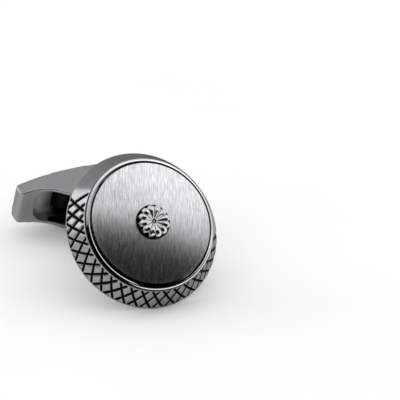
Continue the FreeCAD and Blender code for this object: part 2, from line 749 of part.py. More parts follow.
os.makedirs("parts", exist_ok=True)
for piece in head + toggle:
    if piece.Shape.isNull() or not piece.Shape.isValid():
        raise RuntimeError(f"{piece.Label} has no valid shape")
    piece.Shape.exportStep(f"parts/{piece.Label}.step")
    print(piece.Label, "volume", round(piece.Shape.Volume, 2), "solids", len(piece.Shape.Solids))

pivot = toggle[0].Placement
print("rest angle", round(math.degrees(lie.Rotation.Angle), 5), "head origin", list(lie.Base))
print("box", box.XLength, box.YLength, box.ZLength)
print("pivot", [round(value, 4) for value in pivot.Base])
print("pin axis", [round(value, 6) for value in pivot.Rotation.multVec(FreeCAD.Vector(0, 0, 1))])
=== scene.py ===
import math

import bpy
import numpy as np
from mathutils import Matrix, Vector


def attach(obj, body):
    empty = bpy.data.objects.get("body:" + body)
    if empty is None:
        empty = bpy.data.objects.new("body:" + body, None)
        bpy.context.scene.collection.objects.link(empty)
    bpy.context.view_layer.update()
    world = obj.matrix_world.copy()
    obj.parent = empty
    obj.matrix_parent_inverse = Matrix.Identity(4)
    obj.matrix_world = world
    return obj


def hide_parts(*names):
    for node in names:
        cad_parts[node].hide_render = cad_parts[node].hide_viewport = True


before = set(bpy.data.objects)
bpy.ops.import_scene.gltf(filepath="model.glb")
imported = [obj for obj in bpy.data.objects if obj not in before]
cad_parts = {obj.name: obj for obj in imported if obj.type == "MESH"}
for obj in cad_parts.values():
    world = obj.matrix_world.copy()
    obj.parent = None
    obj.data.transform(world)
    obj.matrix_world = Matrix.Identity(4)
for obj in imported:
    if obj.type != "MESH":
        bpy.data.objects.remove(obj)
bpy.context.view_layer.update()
scene = bpy.context.scene

# The head's own frame: origin in the middle of the case's widest circle, Z out of the face and
# Y towards the side that the arm bends to. The head leans back about X as it lies on a table.
MM = 0.001
HEAD_LEAN = math.radians(50.94991)
HEAD_ORIGIN = Vector((0, -6.83312, 7.11536)) * MM
HEAD = Matrix.Translation(HEAD_ORIGIN) @ Matrix.Rotation(HEAD_LEAN, 4, "X")

# Modelling helpers

# Corners closer than this, in metres, become one, and so do faces that meet within the angle
TURNED_MERGE, CAD_MERGE = 1e-7, 1e-6
FLAT_ANGLE = math.radians(0.3)


def deselect():
    """Leave nothing selected, so that an operator acts only on the new piece."""
    bpy.ops.object.select_all(action="DESELECT")


def make_active(piece):
    """Select one piece alone, for the operators that follow."""
    deselect()
    piece.select_set(True)
    bpy.context.view_layer.objects.active = piece


def turned_piece(name, outline, steps):
    """Spin a closed outline of radius and height, in millimetres, about Z into a turned ring."""
    deselect()
    mesh = bpy.data.meshes.new(name)
    count = len(outline)
    points = [(radius * MM, 0, height * MM) for radius, height in outline]
    mesh.from_pydata(points, [(i, (i + 1) % count) for i in range(count)], [])
    piece = bpy.data.objects.new(name, mesh)
    scene.collection.objects.link(piece)
    make_active(piece)
    lathe = piece.modifiers.new("lathe", "SCREW")
    lathe.angle, lathe.axis = 2 * math.pi, "Z"
    lathe.steps = lathe.render_steps = steps
    lathe.use_merge_vertices, lathe.merge_threshold = True, TURNED_MERGE
    bpy.ops.object.modifier_apply(modifier=lathe.name)
    bpy.ops.object.mode_set(mode="EDIT")
    bpy.ops.mesh.select_all(action="SELECT")
    bpy.ops.mesh.remove_doubles(threshold=TURNED_MERGE)
    bpy.ops.mesh.normals_make_consistent(inside=False)
    bpy.ops.object.mode_set(mode="OBJECT")
    return piece


def arc(centre, radius, start, stop, count):
    """Points on an arc in an outline's plane, from one angle in degrees to another."""
    angles = [math.radians(start + (stop - start) * i / count) for i in range(count + 1)]
    return [(centre[0] + radius * math.cos(a), centre[1] + radius * math.sin(a)) for a in angles]


def cad_copy(node, name):
    """A merged copy of a CAD node's mesh, for a piece that keeps the node's form."""
    piece = bpy.data.objects.new(name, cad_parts[node].data.copy())
    piece.data.materials.clear()
    scene.collection.objects.link(piece)
    make_active(piece)
    bpy.ops.object.mode_set(mode="EDIT")
    bpy.ops.mesh.select_all(action="SELECT")
    bpy.ops.mesh.customdata_custom_splitnormals_clear()
    bpy.ops.mesh.remove_doubles(threshold=CAD_MERGE)
    bpy.ops.mesh.dissolve_limited(angle_limit=FLAT_ANGLE)
    bpy.ops.object.mode_set(mode="OBJECT")
    return piece


def shade_smooth(piece, angle):
    """Shade a piece smooth, apart from the edges that are sharper than an angle in degrees."""
    make_active(piece)
    bpy.ops.object.shade_smooth_by_angle(angle=math.radians(angle))


def corners(piece, unit=MM):
    """The corners of a piece's mesh as an array, in millimetres, or in another unit."""
    flat = np.empty(len(piece.data.vertices) * 3)
    piece.data.vertices.foreach_get("co", flat)
    return flat.reshape(-1, 3) / unit


def set_corners(piece, spots):
    """Move the corners of a piece's mesh to places in millimetres."""
    piece.data.vertices.foreach_set("co", (spots * MM).ravel())
    piece.data.update()


def round_places(spots):
    """How far each corner is from the head's axis, and its angle clockwise from the top."""
    return np.hypot(spots[:, 0], spots[:, 1]), np.arctan2(spots[:, 0], spots[:, 1])


def fade(values, none, full):
    """A share that grows from 0 at one value to 1 at another."""
    return np.clip((values - none) / (full - none), 0, 1)


def hump(values, middle, reach, power=2):
    """A share that is 1 in the middle and dies away at a reach to both sides."""
    return np.exp(-((values - middle) / reach) ** power)


def store_share(piece, name, values):
    """Keep one number for each corner of the mesh, for its material to read."""
    attribute = piece.data.attributes.new(name, "FLOAT", "POINT")
    attribute.data.foreach_set("value", values.astype(np.float32))


def settle(piece, node, body, material):
    """Give a finished piece its material and its body, and hide the CAD node that it stands for."""
    piece.data.materials.clear()
    piece.data.materials.append(material)
    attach(piece, body)
    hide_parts(node)


# Materials

# Sockets of a Mix node, which has several of the same name
SHARE, FIRST_NUMBER, SECOND_NUMBER, FIRST_COLOUR, SECOND_COLOUR = 0, 2, 3, 6, 7
MIXED_NUMBER, MIXED_COLOUR = 0, 2


def srgb(code):
    """A hex colour as the linear colour that a shader takes."""
    parts = [int(code[i:i + 2], 16) / 255 for i in (1, 3, 5)]
    linear = [p / 12.92 if p <= 0.04045 else ((p + 0.055) / 1.055) ** 2.4 for p in parts]
    return (*linear, 1)


def add(tree, kind, settings=None, links=None):
    """Add a node, set its properties, sockets and colour stops by name, and link its sockets."""
    node = tree.nodes.new(kind)
    for key, value in (settings or {}).items():
        if key == "stops":
            marks = node.color_ramp.elements
            while len(marks) < len(value):
                marks.new(0.5)
            for mark, (position, code) in zip(marks, value):
                mark.position, mark.color = position, srgb(code)
        elif isinstance(key, int) or key in node.inputs:
            node.inputs[key].default_value = value
        else:
            setattr(node, key, value)
    for key, socket in (links or {}).items():
        tree.links.new(node.inputs[key], socket)
    return node


def per_mm(size):
    """The scale of a noise texture whose grains have a size in millimetres."""
    return 1 / (size * MM)


def new_material(name):
    """A metal with no colour yet, its node tree and its shader. Worn metal doesn't mirror fully
    at a glancing angle, so its edge tint is grey."""
    material = bpy.data.materials.new(name)
    material.use_nodes = True
    tree = material.node_tree
    shader = tree.nodes["Principled BSDF"]
    shader.inputs["Metallic"].default_value = 1
    shader.inputs["Specular Tint"].default_value = srgb("#C0C0C0")
    return material, tree, shader


# Plated metal: soft clouds some 2.5 mm across in its tone, and polishing marks in its gloss. The
# marks are some 0.02 mm wide, and are drawn several times as coarse so that they show.
CLOUD_MM, MARK_HEIGHT_MM, GLOSS_SPREAD = 2.5, 0.02, 0.15


def plated_metal(name, light, dark, rough, mark_mm, mark_bump):
    """Grey metal between a light and a dark tone, with polishing marks of a width."""
    material, tree, shader = new_material(name)
    place = add(tree, "ShaderNodeTexCoord").outputs["Object"]
    cloud = add(
        tree, "ShaderNodeTexNoise",
        {"Scale": per_mm(CLOUD_MM), "Detail": 3.0, "Roughness": 0.5}, {"Vector": place},
    ).outputs["Fac"]
    colour = add(
        tree, "ShaderNodeValToRGB", {"stops": [(0.3, dark), (0.7, light)]}, {"Fac": cloud},
    ).outputs["Color"]
    tree.links.new(shader.inputs["Base Color"], colour)
    marks = add(
        tree, "ShaderNodeTexNoise", {"Scale": per_mm(mark_mm), "Detail": 2.0}, {"Vector": place},
    ).outputs["Fac"]
    smooth, dull = rough * (1 - GLOSS_SPREAD), rough * (1 + GLOSS_SPREAD)
    gloss = add(
        tree, "ShaderNodeMapRange",
        {"From Min": 0.3, "From Max": 0.7, "To Min": smooth, "To Max": dull}, {"Value": marks},
    ).outputs["Result"]
    tree.links.new(shader.inputs["Roughness"], gloss)
    bump = add(
        tree, "ShaderNodeBump", {"Strength": mark_bump, "Distance": MARK_HEIGHT_MM * MM},
        {"Height": marks},
    ).outputs["Normal"]
    tree.links.new(shader.inputs["Normal"], bump)
    return material, tree, shader


def case_metal():
    """Grey plating, polished: a bright mirror line on the lip, a softer sheen on the band, and
    dead black in the knurl's grooves, which makes its diamonds stand out. On the lip the black and
    the dimming of its bright colour are painted shade."""
    material, tree, shader = plated_metal(
        "polished_plating_blackened_knurl_painted_lip_shade",
        light="#9C9C9E", dark="#909092", rough=0.16, mark_mm=0.12, mark_bump=0.06,
    )
    plain = shader.inputs["Base Color"].links[0].from_socket
    gloss = shader.inputs["Roughness"].links[0].from_socket
    depth = add(tree, "ShaderNodeAttribute", {"attribute_name": "groove"}).outputs["Fac"]
    black = add(
        tree, "ShaderNodeMapRange",
        {"From Min": 0.2, "From Max": 0.5, "interpolation_type": "SMOOTHSTEP"}, {"Value": depth},
    ).outputs["Result"]
    lip = add(tree, "ShaderNodeAttribute", {"attribute_name": "lip"}).outputs["Fac"]
    # The lip's bright colour; its share is dimmed as painted shade at the upper left and outside at
    # the right
    bright = add(
        tree, "ShaderNodeMix", {"data_type": "RGBA", SECOND_COLOUR: srgb("#ECECEE")},
        {SHARE: lip, FIRST_COLOUR: plain},
    ).outputs[MIXED_COLOUR]
    # Near-black: the knurl's blackening in its grooves, and painted shade on the lip
    colour = add(
        tree, "ShaderNodeMix", {"data_type": "RGBA", SECOND_COLOUR: srgb("#0E0E0F")},
        {SHARE: black, FIRST_COLOUR: bright},
    ).outputs[MIXED_COLOUR]
    tree.links.new(shader.inputs["Base Color"], colour)
    polish = add(
        tree, "ShaderNodeMix", {SECOND_NUMBER: 0.08}, {SHARE: lip, FIRST_NUMBER: gloss},
    ).outputs[MIXED_NUMBER]
    tree.links.new(shader.inputs["Roughness"], polish)
    return material


# The disc's strokes run up the face. They are some 0.03 mm wide, and are drawn a little over
# twice as wide so that they show.
BRUSH_TURN = math.radians(18.5)
STROKE_MM, STROKE_LENGTH_MM, STROKE_HEIGHT_MM = 0.07, 1.2, 0.03


def brushed_metal():
    """Bright steel, brushed: fine straight strokes that smear each reflection across them, so
    that the disc goes softly from light to dark. Its edge is darkened with painted shade."""
    material, tree, shader = new_material("straight_brushed_steel")
    upright = Matrix.Rotation(BRUSH_TURN, 4, "Z") @ HEAD.inverted()
    place = add(
        tree, "ShaderNodeMapping",
        {"Location": upright.to_translation(), "Rotation": upright.to_euler()},
        {"Vector": add(tree, "ShaderNodeTexCoord").outputs["Object"]},
    ).outputs["Vector"]
    wide, long = per_mm(STROKE_MM), per_mm(STROKE_LENGTH_MM)
    along = add(
        tree, "ShaderNodeMapping", {"Scale": (wide, long, long)}, {"Vector": place},
    ).outputs["Vector"]
    strokes = add(
        tree, "ShaderNodeTexNoise", {"Scale": 1.0, "Detail": 3.0, "Roughness": 0.65},
        {"Vector": along},
    ).outputs["Fac"]
    bright = add(
        tree, "ShaderNodeValToRGB",
        {"stops": [(0.3, "#A2A2A4"), (0.5, "#C6C6C8"), (0.7, "#E8E8EA")]}, {"Fac": strokes},
    ).outputs["Color"]
    wall = add(tree, "ShaderNodeAttribute", {"attribute_name": "wall"}).outputs["Fac"]
    # Painted shade: the disc's edge goes near-black
    colour = add(
        tree, "ShaderNodeMix", {"data_type": "RGBA", SECOND_COLOUR: srgb("#161617")},
        {SHARE: wall, FIRST_COLOUR: bright},
    ).outputs[MIXED_COLOUR]
    tree.links.new(shader.inputs["Base Color"], colour)
    gloss = add(
        tree, "ShaderNodeMapRange",
        {"From Min": 0.3, "From Max": 0.7, "To Min": 0.17, "To Max": 0.22}, {"Value": strokes},
    ).outputs["Result"]
    tree.links.new(shader.inputs["Roughness"], gloss)
    bump = add(
        tree, "ShaderNodeBump", {"Strength": 0.18, "Distance": STROKE_HEIGHT_MM * MM},
        {"Height": strokes},
    ).outputs["Normal"]
    tree.links.new(shader.inputs["Normal"], bump)
    shader.inputs["Anisotropic"].default_value = 0.9
    across = add(
        tree, "ShaderNodeTangent", {"direction_type": "UV_MAP", "uv_map": "brush"},
    ).outputs["Tangent"]
    tree.links.new(shader.inputs["Tangent"], across)
    return material


def rosette_metal():
    """Bright plating, polished: a glint on each petal, set off by the near-black base between."""
    material, tree, shader = plated_metal(
        "polished_petals_near_black_base",
        light="#DCDCDE", dark="#CECED0", rough=0.12, mark_mm=0.1, mark_bump=0.04,
    )
    plain = shader.inputs["Base Color"].links[0].from_socket
    depth = add(tree, "ShaderNodeAttribute", {"attribute_name": "recess"}).outputs["Fac"]
    colour = add(
        tree, "ShaderNodeMix", {"data_type": "RGBA", SECOND_COLOUR: srgb("#121213")},
        {SHARE: depth, FIRST_COLOUR: plain},
    ).outputs[MIXED_COLOUR]
    tree.links.new(shader.inputs["Base Color"], colour)
    return material


def toggle_metal():
    """Grey plating, satin: soft reflections outside, and inside the pocket a dull skin, made pale
    as painted light, with painted shade in black in its middle."""
    material, tree, shader = plated_metal(
        "satin_plating_pocket_painted_light_and_shade",
        light="#A0A0A2", dark="#969698", rough=0.22, mark_mm=0.15, mark_bump=0.03,
    )
    plain = shader.inputs["Base Color"].links[0].from_socket
    gloss = shader.inputs["Roughness"].links[0].from_socket
    pocket = add(tree, "ShaderNodeAttribute", {"attribute_name": "pocket"}).outputs["Fac"]
    cast = add(
        tree, "ShaderNodeMix", {SECOND_NUMBER: 0.6}, {SHARE: pocket, FIRST_NUMBER: gloss},
    ).outputs[MIXED_NUMBER]
    tree.links.new(shader.inputs["Roughness"], cast)
    # Painted light: the pocket's inside is made pale
    pale = add(
        tree, "ShaderNodeMix", {"data_type": "RGBA", SECOND_COLOUR: srgb("#DADADC")},
        {SHARE: pocket, FIRST_COLOUR: plain},
    ).outputs[MIXED_COLOUR]
    stain = add(tree, "ShaderNodeAttribute", {"attribute_name": "stain"}).outputs["Fac"]
    # Painted shade: near-black in the middle of the pocket
    colour = add(
        tree, "ShaderNodeMix", {"data_type": "RGBA", SECOND_COLOUR: srgb("#0C0C0D")},
        {SHARE: stain, FIRST_COLOUR: pale},
    ).outputs[MIXED_COLOUR]
    tree.links.new(shader.inputs["Base Color"], colour)
    return material


def set_adhesive():
    """Set adhesive, squeezed out: dark and slightly glossy, and not a metal."""
    material, tree, shader = plated_metal(
        "set_adhesive", light="#1E1E1F", dark="#161617", rough=0.45, mark_mm=0.2, mark_bump=0.1,
    )
    shader.inputs["Metallic"].default_value = 0
    return material


case_finish = case_metal()
disc_finish = brushed_metal()
rosette_finish = rosette_metal()
toggle_finish = toggle_metal()
bedding = set_adhesive()
# Back plate: grey plating, satin, with a soft even sheen
satin_plating = plated_metal(
    "satin_grey_plating",
    light="#929294", dark="#868688", rough=0.26, mark_mm=0.15, mark_bump=0.03,
)[0]
# Arm: grey plating, polished, with reflections that run along its curve
arm_plating = plated_metal(
    "polished_grey_plating",
    light="#969698", dark="#88888A", rough=0.2, mark_mm=0.2, mark_bump=0.08,
)[0]
# Pin: bare steel, polished, a lighter spot on the plating round it
pin_steel = plated_metal(
    "polished_pin_steel",
    light="#BDBDBF", dark="#ADADAF", rough=0.2, mark_mm=0.1, mark_bump=0.05,
)[0]
# Spring: spring steel, dull, and near-black as painted shade, nearly lost in the dark of the pocket
spring_steel = plated_metal(
    "spring_steel_painted_shade",
    light="#242425", dark="#1C1C1D", rough=0.45, mark_mm=0.1, mark_bump=0.1,
)[0]
# Washer: bare steel as turned, grey and a little rough
plain_steel = plated_metal(
    "plain_turned_steel",
    light="#8E8E90", dark="#7C7C7E", rough=0.35, mark_mm=0.1, mark_bump=0.1,
)[0]

# Case: the turned ring, with the knurl sunk into its band. Lengths are in millimetres, and angles
# in degrees, clockwise from the head's top.
RIM, BORDER, BORDER_BEVEL, BORDER_ROWS = 9.0, 0.45, 0.25, (0.05, 0.1)
BAND_STEP, BAND_STEP_ROWS, BAND_RUN, BAND_HEIGHT, BAND_ROWS = 0.06, 3, 1.34, 2.2, 44
FINE_LINE_WALL, FINE_LINE_DEPTH, LIP_DRAFT = 0.015, 0.06, 0.005
LIP_BORE, LIP_FOOT, LIP_CREST, LIP_TOP = 7.12, 7.62, 7.36, 2.7
LIP_ROUND, LIP_OUTER_ARC = 0.3394, (40, 90, 9)
LIP_INNER_ROUND, LIP_INNER_ARC = 0.3133, (97, 140, 6)
SEAT_DEPTH, SEAT_WIDTH, RIM_WALL, PLATE_THICKNESS = 0.5, 0.8, 0.95, 0.8
ON_FACE, NEAR_FACE, CASE_CREASE = 0.001, 0.01, 40

# Knurl: grooves to a full turn, grooves cut and the first one's place. Its foot, head and the
# place where it runs out are shares of the band's height.
KNURLS, KNURL_COUNT, KNURL_FIRST, STEPS_PER_KNURL = 37, 21, 110.45, 28
KNURL_DEPTH, KNURL_WIDTH, KNURL_LEAN, KNURL_FLANK = 0.2, 0.56, math.radians(35), 1.5
KNURL_FOOT, KNURL_HEAD, KNURL_RUNOUT, BORDER_RUNOUT = 0.02, 0.93, (0.96, 0.88), (-0.2, 0)

# The black on the lip: at its foot along the knurl, and painted shade over the bead's outside at
# the left and up its bore at the bottom, in place of the dark that the bead mirrors there. A pair
# says where it begins to show and where it is full, and tilts say how far over the lip's bead a
# place leans out from its crest.
FOOT_BLACK_START, FOOT_BLACK_END, FOOT_BLACK_EDGE = (105, 117), (318, 306), 0.01
PAST_BOTTOM, LEFT_START, LEFT_END = (203, 240), (0, 0.125), (285, 273)
OUTER_TILT, OUTER_CREEP = (45, 51), 37
BOTTOM_MIDDLE, BOTTOM_REACH = 200, 55
BORE_TILT, BORE_CREEP, BORE_RETREAT, BORE_END, BORE_EDGE = -20, 34, 75, (320, 300), (0, 6)
# Where the lip's bright colour is dimmed as painted shade
UPPER_LEFT, UPPER_LEFT_REACH, UPPER_LEFT_SHADE_SHARE = -62, 28, 0.65
RIGHT_START, RIGHT_END, RIGHT_TILT = (35, 60), (130, 110), (12, 24)


def case_piece():
    """The case, with its knurl in the mesh, and as shares its black and its bright lip, with
    painted shade on the lip.
    """
    foot, top = RIM - BAND_STEP, RIM - BAND_RUN
    seat, low = BAND_HEIGHT - SEAT_DEPTH, -BORDER
    plate, plate_top = RIM - RIM_WALL, PLATE_THICKNESS - BORDER
    outline = [(plate, low), (RIM - BORDER_BEVEL, low), (RIM, low + BORDER_BEVEL)]
    outline += [(RIM, low + BORDER_BEVEL + step) for step in BORDER_ROWS]
    outline += arc((foot, -BAND_STEP), BAND_STEP, 0, 90, BAND_STEP_ROWS)
    for row in range(1, BAND_ROWS + 1):
        outline.append((foot + (top - foot) * row / BAND_ROWS, BAND_HEIGHT * row / BAND_ROWS))
    outline.append((top - FINE_LINE_WALL, BAND_HEIGHT - FINE_LINE_DEPTH))
    outline.append((LIP_FOOT + LIP_DRAFT, BAND_HEIGHT))
    outline += arc((LIP_CREST, LIP_TOP - LIP_ROUND), LIP_ROUND, *LIP_OUTER_ARC)
    outline += arc((LIP_CREST, LIP_TOP - LIP_INNER_ROUND), LIP_INNER_ROUND, *LIP_INNER_ARC)
    outline += [(LIP_BORE, BAND_HEIGHT), (LIP_BORE, seat), (LIP_BORE - SEAT_WIDTH, seat)]
    outline += [(LIP_BORE - SEAT_WIDTH, plate_top), (plate, plate_top)]
    piece = turned_piece("case", outline, KNURLS * STEPS_PER_KNURL)

    spots = corners(piece)
    radius, angle = round_places(spots)
    angle, height = np.degrees(angle), spots[:, 2]
    share = height / BAND_HEIGHT
    on_band = (np.abs(radius - (foot + (top - foot) * share)) < ON_FACE) & (share < 1)
    on_border = (radius > foot + ON_FACE) & (height < ON_FACE)
    pitch = 360 / KNURLS
    middle = (KNURL_FOOT + KNURL_HEAD) / 2
    slope = math.hypot(BAND_RUN - BAND_STEP, BAND_HEIGHT)
    middle_radius = foot + (top - foot) * middle
    lead = np.degrees(slope * math.tan(KNURL_LEAN) / middle_radius) * (share - middle)
    ends = fade(share, *KNURL_RUNOUT) * fade(height, *BORDER_RUNOUT)
    sunk = np.zeros(len(spots))
    for lean, lag, count in ((1, 0, KNURL_COUNT), (-1, 0.5, KNURL_COUNT - 1)):
        first = KNURL_FIRST + lag * pitch
        offset = (angle - lean * lead - first) % 360
        offset = np.where(offset > 360 - pitch / 2, offset - 360, offset)
        index = np.clip(np.round(offset / pitch), 0, count - 1)
        aside = np.abs(offset - index * pitch)
        gap = np.radians(aside) * radius * math.cos(KNURL_LEAN)
        flank = fade(gap, KNURL_WIDTH / 2, 0) ** KNURL_FLANK
        sunk = np.maximum(sunk, flank * ends)
    sunk = sunk * (on_band | on_border)

    # The black fills the lip's foot, and as painted shade creeps up its bore at the bottom and over
    # its outside at the left; the lip's bright colour is dimmed as painted shade at the upper left
    # and on the outside at the right
    on_lip = (radius > LIP_BORE - NEAR_FACE) & (radius < top - ON_FACE)
    on_lip = on_lip & (height > seat + NEAR_FACE)
    bead = np.where(radius > LIP_CREST, LIP_ROUND, LIP_INNER_ROUND)
    tilt = np.degrees(np.arcsin(np.clip((radius - LIP_CREST) / bead, -1, 1)))
    turn = angle % 360
    from_knurl = fade(turn, *FOOT_BLACK_START) * fade(turn, *FOOT_BLACK_END)
    foot_black = fade(radius, LIP_FOOT - FOOT_BLACK_EDGE, LIP_FOOT) * from_knurl
    past_bottom = fade(turn, *PAST_BOTTOM)
    at_left = fade(past_bottom, *LEFT_START) * fade(turn, *LEFT_END)
    # Painted shade: the bead's outside at the left and its bore at the bottom go black by how far
    # they lean
    outer = fade(tilt + OUTER_CREEP * past_bottom, *OUTER_TILT) * at_left
    bottom = hump(turn, BOTTOM_MIDDLE, BOTTOM_REACH)
    retreat = BORE_RETREAT * past_bottom * fade(turn, *BORE_END)
    inner = fade(BORE_TILT + BORE_CREEP * bottom - retreat - tilt, *BORE_EDGE)
    black = np.maximum(foot_black, np.maximum(outer, inner))
    store_share(piece, "groove", np.maximum(sunk, black * on_lip))
    # Painted shade: the lip's bright colour dimmed at the upper left and on its outside at the
    # right
    right_painted_shade = fade(angle, *RIGHT_START) * fade(angle, *RIGHT_END) * fade(tilt, *RIGHT_TILT)
    upper_left_painted_shade = UPPER_LEFT_SHADE_SHARE * hump(angle, UPPER_LEFT, UPPER_LEFT_REACH)
    store_share(piece, "lip", on_lip * (1 - np.maximum(upper_left_painted_shade, right_painted_shade)))

    outward = np.array((BAND_HEIGHT, BAND_RUN - BAND_STEP)) / slope
    drop = sunk * KNURL_DEPTH
    spots[:, :2] *= (1 - drop * outward[0] / np.maximum(radius, 1))[:, None]
    spots[:, 2] -= drop * outward[1]
    set_corners(piece, spots)
    piece.data.transform(HEAD)
    shade_smooth(piece, CASE_CREASE)
    return piece


settle(case_piece(), "bezel", "head", case_finish)

# Disc: a shallow dome with a softened edge, and the flat and hole under the rosette, in millimetres
DISC_RADIUS, DISC_BOTTOM, DISC_EDGE, DISC_CROWN = 7.02, 1.8, 3.02, 0.45
DISC_EDGE_ROUND, DISC_EDGE_ARC = 0.05, (0, 83, 4)
ROSETTE_SEAT, ROSETTE_SEAT_RADIUS, STEM_HOLE = 3.3945, 1.65, 0.62
DISC_STEPS, DOME_ROWS, DISC_CREASE = 160, 14, 40
BRUSH_MAP_MM = 20
# The edge is darkened with painted shade, left off about an angle at the upper left
EDGE_BLACK_WIDTH, UNSHADED_MIDDLE, UNSHADED_REACH, UNSHADED_POWER = 0.02, -40, 55, 4


def disc_piece():
    """The disc, with a map along its strokes and the painted shade of its edge as a share."""
    reach = DISC_RADIUS - DISC_EDGE_ROUND
    curve = (reach ** 2 + DISC_CROWN ** 2) / (2 * DISC_CROWN)
    dome_centre = DISC_EDGE + DISC_CROWN - curve
    outline = [(STEM_HOLE, DISC_BOTTOM), (DISC_RADIUS, DISC_BOTTOM)]
    outline += arc((reach, DISC_EDGE - DISC_EDGE_ROUND), DISC_EDGE_ROUND, *DISC_EDGE_ARC)
    for row in range(DOME_ROWS + 1):
        radius = reach + (ROSETTE_SEAT_RADIUS - reach) * row / DOME_ROWS
        outline.append((radius, dome_centre + math.sqrt(curve ** 2 - radius ** 2)))
    outline += [(ROSETTE_SEAT_RADIUS, ROSETTE_SEAT), (STEM_HOLE, ROSETTE_SEAT)]
    piece = turned_piece("disc", outline, DISC_STEPS)
    brush = piece.data.uv_layers.new(name="brush")
    turn = Matrix.Rotation(BRUSH_TURN, 4, "Z")
    for corner, spot in zip(piece.data.loops, brush.uv):
        place = turn @ piece.data.vertices[corner.vertex_index].co
        spot.vector = place.xy / (BRUSH_MAP_MM * MM)
    radius, angle = round_places(corners(piece))
    # Painted shade on the disc's edge, left off about the upper left
    unshaded = hump(np.degrees(angle), UNSHADED_MIDDLE, UNSHADED_REACH, UNSHADED_POWER)
    on_edge = fade(radius, reach, reach + EDGE_BLACK_WIDTH)
    store_share(piece, "wall", on_edge * (1 - unshaded))
    piece.data.transform(HEAD)
    shade_smooth(piece, DISC_CREASE)
    return piece


settle(disc_piece(), "face_disc", "head", disc_finish)

# Rosette: a button turned with its stem, its top raised into rounded petals about a small hub, in
# millimetres. Heights are over its seat, and the power of a fall says how it bends.
PETALS, PETAL_STEPS, ROSETTE_ROWS, ROSETTE_CREASE = 12, 28, 60, 60
WASHER_THICKNESS, RIVET_HEIGHT, RIVET_RADIUS, STEM_RADIUS = 0.3, 0.25, 1.0, 0.6
FOOT_RADIUS, FOOT_HEIGHT, FLARE_HEIGHT, FLARE_EDGE = 1.6, 0.1, 0.2, 0.02
BLANK_HEIGHT, ROSETTE_RADIUS = 0.25, 1.98
PETAL_HALF, PETAL_REACH, PETAL_TOP, NARROWEST = math.radians(14.6), 1.84, 0.95, 0.05
PETAL_CREST, INNER_FALL, PETAL_FALL, OUTER_FALL, FALL_POWER = 1.2, 0.4, 1.1, 0.2, 1.3
SIDE_FALL, SIDE_POWER = 0.12, 1.2
BASE_TOP, GAP_EDGE, GAP_OPENS, GAP_BLACK = 0.26, 0.06, (0.5, 1.1), (0.5, 0.9)
HUB_TOP, HUB_RADIUS, HUB_DOME = 0.56, 0.1, 0.6
HUB_RING, RING_EDGE, RING_FADE, RING_DEPTH, RING_BLACK = 0.2, 0.04, 0.06, 0.12, 0.9
SEAM_BLACK, SEAM_START = (0.035, 0.015), (0.3, 0.5)


def petal_heights(radius, angle):
    """Height over the seat and share of recess at points of the rosette's top, in millimetres."""
    pitch = 2 * math.pi / PETALS
    aside = (angle + pitch / 2) % pitch - pitch / 2
    along, across = radius * np.cos(aside), np.abs(radius * np.sin(aside))
    opening, closing = math.sin(PETAL_HALF), math.cos(PETAL_HALF)
    lobe_centre = PETAL_REACH / (1 + opening)
    lobe = lobe_centre * opening
    side = along * opening - across * closing
    end = lobe - np.hypot(along - lobe_centre, across)
    beyond = (along - lobe_centre) * closing + across * opening > 0
    inside = np.where(beyond, end, side)
    share = np.clip(inside / np.clip(along * opening, NARROWEST, lobe), 0, 1)
    inner = fade(along, PETAL_CREST, HUB_RING) ** FALL_POWER
    outer = fade(along, PETAL_FALL, PETAL_FALL + 1) ** FALL_POWER
    crest = PETAL_TOP - INNER_FALL * inner - OUTER_FALL * outer
    height = crest - SIDE_FALL * fade(along, 0, PETAL_CREST) * (1 - share) ** SIDE_POWER
    outside = fade(inside, 0, -GAP_EDGE)
    height = height + (BASE_TOP - height) * outside * fade(radius, *GAP_OPENS)
    ring = fade(radius, HUB_RADIUS, HUB_RADIUS + RING_EDGE)
    ring = ring * fade(radius, HUB_RING + RING_FADE, HUB_RING)
    hub = HUB_TOP - HUB_DOME * np.minimum(radius, HUB_RADIUS) ** 2 / HUB_RADIUS
    height = np.where(radius < HUB_RING, hub, height) - RING_DEPTH * ring
    seam = fade(inside, *SEAM_BLACK) * fade(radius, *SEAM_START) * ~beyond
    gap = np.maximum(seam, outside * fade(radius, *GAP_BLACK))
    return height, np.maximum(ring * RING_BLACK, gap)


def rosette_piece():
    """The rosette, its petals raised from a turned blank, with its black as a share."""
    rivet_top = DISC_BOTTOM - WASHER_THICKNESS
    rivet_low = rivet_top - RIVET_HEIGHT
    blank = ROSETTE_SEAT + BLANK_HEIGHT
    outline = [(0, rivet_low), (RIVET_RADIUS, rivet_low), (RIVET_RADIUS, rivet_top)]
    outline += [(STEM_RADIUS, rivet_top), (STEM_RADIUS, ROSETTE_SEAT)]
    outline += [(FOOT_RADIUS, ROSETTE_SEAT), (FOOT_RADIUS, ROSETTE_SEAT + FOOT_HEIGHT)]
    outline.append((ROSETTE_RADIUS - FLARE_EDGE, ROSETTE_SEAT + FLARE_HEIGHT))
    for row in range(ROSETTE_ROWS + 1):
        outline.append((ROSETTE_RADIUS * (1 - row / ROSETTE_ROWS), blank))
    piece = turned_piece("rosette_daisy", outline, PETALS * PETAL_STEPS)
    spots = corners(piece)
    top = spots[:, 2] > blank - NEAR_FACE
    height, recess = petal_heights(*round_places(spots))
    below = (spots[:, 2] > ROSETTE_SEAT - NEAR_FACE) & ~top
    store_share(piece, "recess", np.where(top, recess, below * 1.0))
    spots[:, 2] = np.where(top, ROSETTE_SEAT + height, spots[:, 2])
    set_corners(piece, spots)
    piece.data.transform(HEAD)
    shade_smooth(piece, ROSETTE_CREASE)
    return piece


settle(rosette_piece(), "rosette", "head", rosette_finish)

